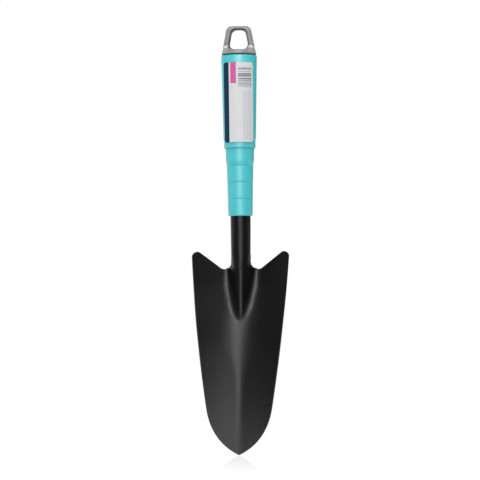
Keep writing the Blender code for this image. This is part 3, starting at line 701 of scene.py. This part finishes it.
def sheet_half_width(above, radius, foot_width):
    """Half the width of the flat sheet at a distance above the foot of the flare."""
    closed = clamped((above - FLARE_LENGTH) / SEAM_CLOSES)
    cut = mix(NECK_CUT, math.pi * radius - SEAM_HALF_GAP, ease(closed))
    return mix(cut, foot_width, max(0.0, 1 - above / FLARE_LENGTH) ** FLARE_POWER)


def tube_row(height):
    """Half a section of the tang or neck; near the notches it opens into the ridge's section."""
    radius = tube_radius(height)
    above = height - flare_foot()
    opened = ease(max(0.0, 1 - above / ROLL_LENGTH))
    bends = ridge_bends(NOTCH_Z)
    marks = stations_of(bends)
    widened = sheet_half_width(above, radius, marks[-1]) / marks[-1]
    line = bent_line(
        [mark * widened for mark in marks],
        lambda along: mix(1 / radius, curvature_at(bends, along), opened),
    )
    return [(across, back - radius, height) for across, back in line]


def scoop_depth(across, height):
    """Depth of the scoop's face without its ridge, measured back from its centre line at the notches."""
    steep, start, width = fold_at(height)
    folded = clamped((across - start) / width)
    side = width * folded**2 * (1 - folded / 3) + max(0.0, across - start - width)
    rolled = max(0.0, across - RIDGE_HALF_WIDTH)
    below = NOTCH_Z - height
    bent = clamped(below / FLOOR_BEND)
    straightened = FLOOR_BEND * bent**3 * (1 - bent / 2) + max(0.0, below - FLOOR_BEND)
    floor = FLOOR_SLOPE * below - (FLOOR_SLOPE - TIP_SLOPE) * straightened
    return -steep * side - WING_CURVE * rolled * rolled / 2 - floor


def crest_depth(height):
    """Depth of the ridge's crest, measured as scoop_depth is."""
    _, rise, _, valley = ridge_at(height)
    back_of_foot = valley * (1 - math.cos(foot_turn(height)))
    return scoop_depth(foot_at(height), height) + back_of_foot - rise


def face_depth(across, height):
    """Depth of the scoop's face, set so that the crest runs on from the front of the neck."""
    return scoop_depth(across, height) - crest_depth(NOTCH_Z) - NECK_RADIUS


def ridge_row(height, limit=math.inf):
    """Half a section, from the centre line to the end of the valley, or to a limit below the ridge."""
    half_width, rise, _, _ = ridge_at(height)
    if half_width > CENTRE_MIN_WIDTH:
        bends = ridge_bends(height)
        line = bent_line(stations_of(bends), lambda along: curvature_at(bends, along))
        front = crest_depth(height) - crest_depth(NOTCH_Z) - NECK_RADIUS
        return [(across, front + back, height) for across, back in line]
    row = []
    columns = CREST_STEPS + FLANK_STEPS + VALLEY_STEPS
    for i in range(columns + 1):
        across = min(centre_width(height), limit) * i / columns
        swell = rise * max(0.0, 1 - (across / foot_at(height)) ** 2) ** 2 if rise else 0.0
        row.append((across, face_depth(across, height) - swell, height))
    return row


def centre_width(height):
    """Half-width of the band of columns that carries the ridge."""
    return max(foot_at(height), CENTRE_MIN_WIDTH)


def side_at(height):
    """Half-width of the scoop at a height between shoulder and nose."""
    down = max(0.0, SHOULDER_Z - height)
    return BLADE_HALF_WIDTH - SIDE_TAPER * down - SIDE_CURVE * down * down


def nose_outline():
    """Points (half-width, height) along the nose, from the end of the side to the tip."""
    start = Vector((side_at(NOSE_Z), NOSE_Z))
    run = SIDE_TAPER + 2 * SIDE_CURVE * (SHOULDER_Z - NOSE_Z)
    first = start - Vector((run, 1)).normalized() * NOSE_PULL
    tip = Vector((0, TIP_Z))
    second = tip + Vector((math.sin(NOSE_TIP_ANGLE), math.cos(NOSE_TIP_ANGLE))) * NOSE_TIP_PULL
    points = []
    for i in range(NOSE_ROWS + 1):
        s = i / NOSE_ROWS
        weights = ((1 - s) ** 3, 3 * s * (1 - s) ** 2, 3 * s * s * (1 - s), s**3)
        point = sum((w * p for w, p in zip(weights, (start, first, second, tip))), Vector((0, 0)))
        points.append((max(point.x, 0.0), point.y))
    return points


def top_outline():
    """Points (across, height) of the free upper edge, from the valley to the outside of a shoulder."""
    notch = (NOTCH_FROM_CENTRE, NOTCH_Z + NOTCH_RADIUS)
    start = math.asin((foot_at(NOTCH_Z) - NOTCH_FROM_CENTRE) / NOTCH_RADIUS) - math.pi / 2
    points = arc(notch, NOTCH_RADIUS, start, SHOULDER_ANGLE - math.pi / 2, NOTCH_STEPS)
    shoulder = (BLADE_HALF_WIDTH - SHOULDER_RADIUS, SHOULDER_Z)
    rounding = arc(shoulder, SHOULDER_RADIUS, SHOULDER_ANGLE + math.pi / 2, 0, SHOULDER_STEPS)
    start, end = points[-1], rounding[0]
    for i in range(1, TOP_EDGE_STEPS):
        share = i / TOP_EDGE_STEPS
        points.append((mix(start[0], end[0], share), mix(start[1], end[1], share)))
    return points + rounding


def upper_rows(top):
    """Rows of the wing between its free upper edge and the first level row, and the columns' shares."""
    low = NOTCH_Z - UPPER_DEPTH
    lengths = [0.0]
    for a, b in zip(top, top[1:]):
        lengths.append(lengths[-1] + math.dist(a, b))
    shares = [length / lengths[-1] for length in lengths]
    a, b = top[0], top[-1]
    d, c = (foot_at(low), low), (side_at(low), low)
    rows = []
    for j in range(UPPER_ROWS + 1):
        v = j / UPPER_ROWS
        inner_z = mix(a[1], low, v)
        outer_z = mix(b[1], low, v)
        inner = (foot_at(inner_z), inner_z)
        outer = (side_at(outer_z), outer_z)
        row = []
        for u, edge in zip(shares, top):
            level = (mix(d[0], c[0], u), low)
            point = [
                mix(edge[k], level[k], v)
                + mix(inner[k], outer[k], u)
                - mix(mix(a[k], b[k], u), mix(d[k], c[k], u), v)
                for k in (0, 1)
            ]
            row.append((point[0], face_depth(*point), point[1]))
        rows.append(row)
    return rows, shares


def level_rows(shares):
    """Half rows of the scoop below the first level row, each from the centre line to the edge."""
    low = NOTCH_Z - UPPER_DEPTH
    shares_left = spaced(1, 0, RIDGE_ROWS)[1:]
    heights = [mix(RIDGE_END_Z, low, left**RIDGE_CROWDING) for left in shares_left]
    heights += spaced(RIDGE_END_Z, NOSE_Z, SIDE_ROWS)[1:]
    edges = [(side_at(height), height) for height in heights] + nose_outline()[1:]
    rows = []
    for edge, height in edges:
        row = ridge_row(height, edge / 2)
        width = row[-1][0]
        for share in shares[1:]:
            across = mix(width, edge, share)
            row.append((across, face_depth(across, height), height))
        rows.append(row)
    return rows


def tang_rows():
    """Half rows of the tube, from the end of the tang to just above the notches."""
    foot = flare_foot()
    heights = spaced(TANG_TOP_Z, TANG_TOP_Z - TANG_POINT, TANG_POINT_ROWS)[:-1]
    heights += spaced(TANG_TOP_Z - TANG_POINT, HANDLE_END_Z, TANG_ROWS)
    heights += spaced(HANDLE_END_Z, foot + ROLL_LENGTH, NECK_ROWS)[1:]
    heights += [foot + ROLL_LENGTH * left**ROLL_CROWDING for left in spaced(1, 0, ROLL_ROWS)[1:-1]]
    return [tube_row(height) for height in heights]


def mirrored_row(form, half):
    """Vertices of a whole row, keyed from left to right by column, with 0 on the centre line."""
    row = {}
    for i, (x, y, z) in enumerate(half):
        row[i] = form.verts.new((x, y, z))
        if i:
            row[-i] = form.verts.new((-x, y, z))
    return row


def make_blade(finish):
    """One sheet: tang, neck, ridge and scoop, built as rows from the top down."""
    wing, shares = upper_rows(top_outline())
    rows = tang_rows()
    rows += [ridge_row(row[0][2]) + row[1:] for row in wing]
    rows += level_rows(shares)
    form = bmesh.new()
    grid = [mirrored_row(form, row) for row in rows]
    for upper, lower in zip(grid, grid[1:]):
        for i in upper:
            if i + 1 in upper and i + 1 in lower:
                form.faces.new((upper[i], lower[i], lower[i + 1], upper[i + 1]))
    bmesh.ops.remove_doubles(form, verts=form.verts, dist=MERGE_DISTANCE)
    blade = add_object("pressed_blade", form)
    thicken(blade, SHEET)
    edge = blade.modifiers.new("edge", "BEVEL")
    edge.width = SHEET_EDGE
    edge.segments = SHEET_EDGE_STEPS
    edge.limit_method = "ANGLE"
    edge.angle_limit = SHEET_EDGE_ANGLE
    install(settle(blade, finish), "blade")


def add_node(tree, kind, inputs=None, **attributes):
    """A shader node with its settings; an input takes a value or the socket that feeds it."""
    made = tree.nodes.new(kind)
    for name, value in attributes.items():
        setattr(made, name, value)
    for key, value in (inputs or {}).items():
        if isinstance(value, bpy.types.NodeSocket):
            tree.links.new(value, made.inputs[key])
        else:
            made.inputs[key].default_value = value
    return made


def maths(tree, operation, *values):
    """The result of a Math node on values or sockets."""
    return add_node(tree, "ShaderNodeMath", dict(enumerate(values)), operation=operation).outputs[0]


def ramp(tree, value, start, end, low=0.0, high=1.0):
    """A number that runs from low to high while a value runs from start to end."""
    inputs = {"Value": value, "From Min": start, "From Max": end, "To Min": low, "To Max": high}
    return add_node(tree, "ShaderNodeMapRange", inputs).outputs["Result"]


def blended(tree, share, first, second):
    """A colour between two others, each of them three numbers or a socket."""
    made = add_node(tree, "ShaderNodeMix", {"Factor": share}, data_type="RGBA")
    sockets = [socket for socket in made.inputs if socket.type == "RGBA"]
    for socket, value in zip(sockets, (first, second)):
        if isinstance(value, bpy.types.NodeSocket):
            tree.links.new(value, socket)
        else:
            socket.default_value = (*value, 1.0)
    return next(socket for socket in made.outputs if socket.type == "RGBA")


def split(tree, vector):
    """The X, Y and Z of a vector."""
    return add_node(tree, "ShaderNodeSeparateXYZ", {"Vector": vector}).outputs


def new_material(name):
    """An empty node material with its shader, its tree and the object's own coordinates."""
    made = bpy.data.materials.new(name)
    made.use_nodes = True
    tree = made.node_tree
    shader = tree.nodes["Principled BSDF"]
    place = add_node(tree, "ShaderNodeTexCoord").outputs["Object"]
    return made, tree, shader, place


def noise(tree, place, size, detail=2.0):
    """A soft noise from 0 to 1 whose blobs have a given size."""
    inputs = {"Vector": place, "Scale": 1 / size, "Detail": detail}
    return add_node(tree, "ShaderNodeTexNoise", inputs).outputs["Fac"]


def coloured(tree, shader, colour):
    """Feeds a colour to the shader."""
    tree.links.new(colour, shader.inputs["Base Color"])


def glossed(tree, shader, cloud, roughness):
    """Roughness between its lowest and highest value, by a noise."""
    tree.links.new(ramp(tree, cloud, 0.0, 1.0, *roughness), shader.inputs["Roughness"])


def bumped(tree, shader, place, *layers):
    """Stacks noisy bumps on the shader, each (size, depth)."""
    normal = None
    for size, depth in layers:
        inputs = {"Height": noise(tree, place, size), "Distance": depth}
        if normal:
            inputs["Normal"] = normal
        normal = add_node(tree, "ShaderNodeBump", inputs).outputs["Normal"]
    tree.links.new(normal, shader.inputs["Normal"])


def black_paint():
    """Satin powder coat: a slight orange peel, a fine grain and uneven gloss."""
    made, tree, shader, place = new_material("satin_black_paint")
    coloured(tree, shader, blended(tree, noise(tree, place, PAINT_CLOUD, detail=3.0), *PAINT_COLOURS))
    glossed(tree, shader, noise(tree, place, PAINT_GLOSS, detail=4.0), PAINT_ROUGHNESS)
    bumped(tree, shader, place, PAINT_PEEL, PAINT_GRAIN)
    return made


def painted_ledge_light_and_shade(tree, place, fresh, painted_highlight, painted_shade_colour):
    """Colour of the cap: a painted highlight on the rounded edge of its ledges, painted shade where it
    looks down.
    """
    up = split(tree, add_node(tree, "ShaderNodeNewGeometry").outputs["Normal"])["Z"]
    spot = split(tree, place)
    aside = maths(tree, "ABSOLUTE", spot["X"])
    share = 1.0
    for value, start, end in (
        (up, *PAINTED_HIGHLIGHT_ON_EDGE),
        (up, *PAINTED_HIGHLIGHT_OFF_FLAT),
        (spot["Z"], BASE_TOP_Z + LEDGE_FADE, BASE_TOP_Z),
        (aside, LEDGE_STARTS - LEDGE_FADE, LEDGE_STARTS),
    ):
        share = maths(tree, "MULTIPLY", share, ramp(tree, value, start, end))
    return blended(tree, ramp(tree, up, *PAINTED_UNDER_SHADE), blended(tree, share, fresh, painted_highlight), painted_shade_colour)


def moulded_plastic(name, colour, painted_shade_share, ior, roughness, painted_highlight=None):
    """Satin moulding with the fine grain of its tool and painted shade in its hollows; where asked, a
    painted highlight on its ledges and painted shade where it looks down.
    """
    made, tree, shader, place = new_material(name)
    shader.inputs["IOR"].default_value = ior
    shader.inputs["Specular IOR Level"].default_value = 1.0
    shades = [[channel * shade for channel in colour] for shade in MOULD_SHADES]
    mottled = blended(tree, noise(tree, place, MOULD_CLOUD, detail=3.0), *shades)
    # Painted shade in hollows, by how open the surroundings are
    painted_shade = [channel * painted_shade_share for channel in colour]
    free = add_node(tree, "ShaderNodeAmbientOcclusion", {"Distance": PAINTED_SHADE_REACH}).outputs["AO"]
    mottled = blended(tree, maths(tree, "POWER", free, PAINTED_SHADE_FALL), painted_shade, mottled)
    # Painted highlight on the cap's ledges and painted shade where it looks down
    if painted_highlight:
        mottled = painted_ledge_light_and_shade(tree, place, mottled, painted_highlight, painted_shade)
    coloured(tree, shader, mottled)
    glossed(tree, shader, noise(tree, place, SHEEN_SIZE, detail=3.0), roughness)
    bumped(tree, shader, place, MOULD_GRAIN)
    return made


def printed_box(tree, across, down, box):
    """1 inside a box on the sticker, 0 outside it."""
    left, right, top, bottom = box
    sides = []
    for place, size, low, high in ((across, LABEL_WIDTH, left, right), (down, LABEL_LENGTH, top, bottom)):
        middle, reach = (low + high) / 2 / size, (high - low) / 2 / size
        sides.append(maths(tree, "COMPARE", place, middle, reach))
    return maths(tree, "MULTIPLY", *sides)


def label_print():
    """White film with a navy strip, a magenta block, plain bars and faint rules, all without words."""
    made, tree, shader, place = new_material("printed_film")
    shader.inputs["Specular IOR Level"].default_value = FILM_SPECULAR
    spot = split(tree, add_node(tree, "ShaderNodeUVMap", uv_map="print").outputs["UV"])
    across, down = spot["X"], spot["Y"]
    index = maths(tree, "FLOOR", maths(tree, "MULTIPLY", down, LABEL_LENGTH / BAR_STEP))
    dice = add_node(tree, "ShaderNodeTexWhiteNoise", {"W": index}, noise_dimensions="1D").outputs["Value"]
    bars = maths(tree, "GREATER_THAN", dice, BAR_CHANCE)
    turn = maths(tree, "FRACT", maths(tree, "MULTIPLY", across, LABEL_WIDTH / RULE_STEP))
    rules = maths(tree, "LESS_THAN", turn, RULE_WIDTH)
    colour = blended(tree, noise(tree, place, FILM_CLOUD), *FILM_COLOURS)
    for box, pattern, ink in (
        (NAVY_STRIP, None, NAVY),
        (MAGENTA_BLOCK, None, MAGENTA),
        (BAR_BLOCK, bars, BAR_INK),
        (RULE_BLOCK, rules, RULE_INK),
    ):
        mask = printed_box(tree, across, down, box)
        if pattern:
            mask = maths(tree, "MULTIPLY", mask, pattern)
        colour = blended(tree, mask, colour, ink)
    coloured(tree, shader, colour)
    glossed(tree, shader, noise(tree, place, SHEEN_SIZE), FILM_ROUGHNESS)
    bumped(tree, shader, place, FILM_WAVE)
    return made


def make_world():
    """White all round, also as a light."""
    world = bpy.data.worlds.new("studio")
    bpy.context.scene.world = world
    world.use_nodes = True
    background = world.node_tree.nodes["Background"]
    background.inputs["Color"].default_value = (1, 1, 1, 1)
    background.inputs["Strength"].default_value = 1.0


def table_finish():
    """White that is full for the rays that see it, with a mirror in the middle that fades outwards."""
    made = bpy.data.materials.new("white_table")
    made.use_nodes = True
    tree = made.node_tree
    tree.nodes.remove(tree.nodes["Principled BSDF"])
    path = add_node(tree, "ShaderNodeLightPath").outputs
    seen = path["Is Camera Ray"]
    for name in ("Is Glossy Ray", "Is Transmission Ray"):
        seen = maths(tree, "MAXIMUM", seen, path[name])
    glow = ramp(tree, seen, 0.0, 1.0, FLOOR_LIGHT, 1.0)
    glow = add_node(tree, "ShaderNodeEmission", {"Strength": glow}).outputs[0]
    lit = add_node(tree, "ShaderNodeBsdfDiffuse", {"Color": (1, 1, 1, 1)}).outputs[0]
    inputs = {"Color": (1, 1, 1, 1), "Roughness": MIRROR_ROUGHNESS}
    mirror = add_node(tree, "ShaderNodeBsdfGlossy", inputs).outputs[0]
    place = add_node(tree, "ShaderNodeTexCoord").outputs["Object"]
    away = add_node(tree, "ShaderNodeVectorMath", {0: place}, operation="LENGTH").outputs["Value"]
    near = ramp(tree, away, MIRROR_START, MIRROR_END, 1.0, 0.0)
    surface = add_node(tree, "ShaderNodeMixShader", {0: near, 1: lit, 2: mirror}).outputs[0]
    surface = add_node(tree, "ShaderNodeMixShader", {0: FLOOR_GLOW, 1: surface, 2: glow}).outputs[0]
    tree.links.new(surface, tree.nodes["Material Output"].inputs["Surface"])
    return made


def make_floor():
    """A glossy white table under the tip, which mirrors it faintly and keeps its shadow."""
    form = bmesh.new()
    bmesh.ops.create_grid(form, x_segments=1, y_segments=1, size=FLOOR_REACH)
    floor = add_object("floor", form)
    floor.location.z = BLADE_LOW.z - FLOOR_DROP
    floor.data.materials.append(table_finish())


def make_lamp(name, azimuth, elevation, size, power):
    """A soft lamp that looks at the trowel's middle; azimuth 0 is straight in front of it."""
    lamp = bpy.data.lights.new(name, "AREA")
    lamp.shape = "RECTANGLE"
    lamp.size, lamp.size_y = size
    lamp.energy = power
    around, up = math.radians(azimuth), math.radians(elevation)
    away = Vector((math.sin(around) * math.cos(up), -math.cos(around) * math.cos(up), math.sin(up)))
    made = placed(name, lamp)
    made.location = Vector((0, 0, CAMERA_HEIGHT)) + away * LAMP_DISTANCE
    made.rotation_euler = (-away).to_track_quat("-Z", "Y").to_euler()
    made.visible_camera = False


def in_black_cards(spot):
    """Whether a point of the room is black: the walls up to a part behind, and the table's front."""
    end = ROOM_END_LEFT if spot.x < 0 else ROOM_END_RIGHT
    if spot.z > BLADE_LOW.z + 2 * DARK_TABLE_LIFT:
        return spot.y <= ROOM_RADIUS * end
    return spot.y <= 0 and spot.xy.length >= DARK_TABLE_START


def make_dark_room():
    """Black cards round the trowel and on the table, seen only by what mirrors them."""
    form = bmesh.new()
    bmesh.ops.create_uvsphere(form, u_segments=ROOM_COLUMNS, v_segments=ROOM_ROWS, radius=ROOM_RADIUS)
    for vert in form.verts:
        vert.co.z = max(vert.co.z, BLADE_LOW.z + DARK_TABLE_LIFT)
    open_part = [vert for vert in form.verts if not in_black_cards(vert.co)]
    bmesh.ops.delete(form, geom=open_part, context="VERTS")
    room = add_object("dark_room", form)
    made, _, shader, _ = new_material("dark_wall")
    shader.inputs["Base Color"].default_value = (0.0, 0.0, 0.0, 1)
    shader.inputs["Roughness"].default_value = 1.0
    shader.inputs["Specular IOR Level"].default_value = 0.0
    room.data.materials.append(made)
    room.visible_camera = False
    room.visible_diffuse = False
    room.visible_shadow = False


def make_camera():
    camera = placed("camera", bpy.data.cameras.new("camera"))
    across = Vector((math.cos(CAMERA_AZIMUTH), math.sin(CAMERA_AZIMUTH), 0))
    back = Vector((math.sin(CAMERA_AZIMUTH), -math.cos(CAMERA_AZIMUTH), 0))
    camera.location = across * CAMERA_ASIDE + back * CAMERA_DISTANCE + Vector((0, 0, CAMERA_HEIGHT))
    camera.rotation_euler = (math.pi / 2, CAMERA_ROLL, CAMERA_AZIMUTH)
    camera.data.sensor_width = SENSOR
    camera.data.lens = SENSOR * CAMERA_DISTANCE / VIEW_HEIGHT
    bpy.context.scene.camera = camera


def make_studio():
    """World, table, black cards, lamps and the camera."""
    make_world()
    make_floor()
    make_dark_room()
    for lamp in LAMPS:
        make_lamp(*lamp)
    make_camera()
    bpy.context.scene.view_settings.view_transform = "Standard"


def main():
    make_cap(moulded_plastic("grey_moulding", **CAP_FINISH))
    make_handle(moulded_plastic("turquoise_moulding", **HANDLE_FINISH))
    make_label(label_print())
    make_blade(black_paint())
    make_studio()


main()
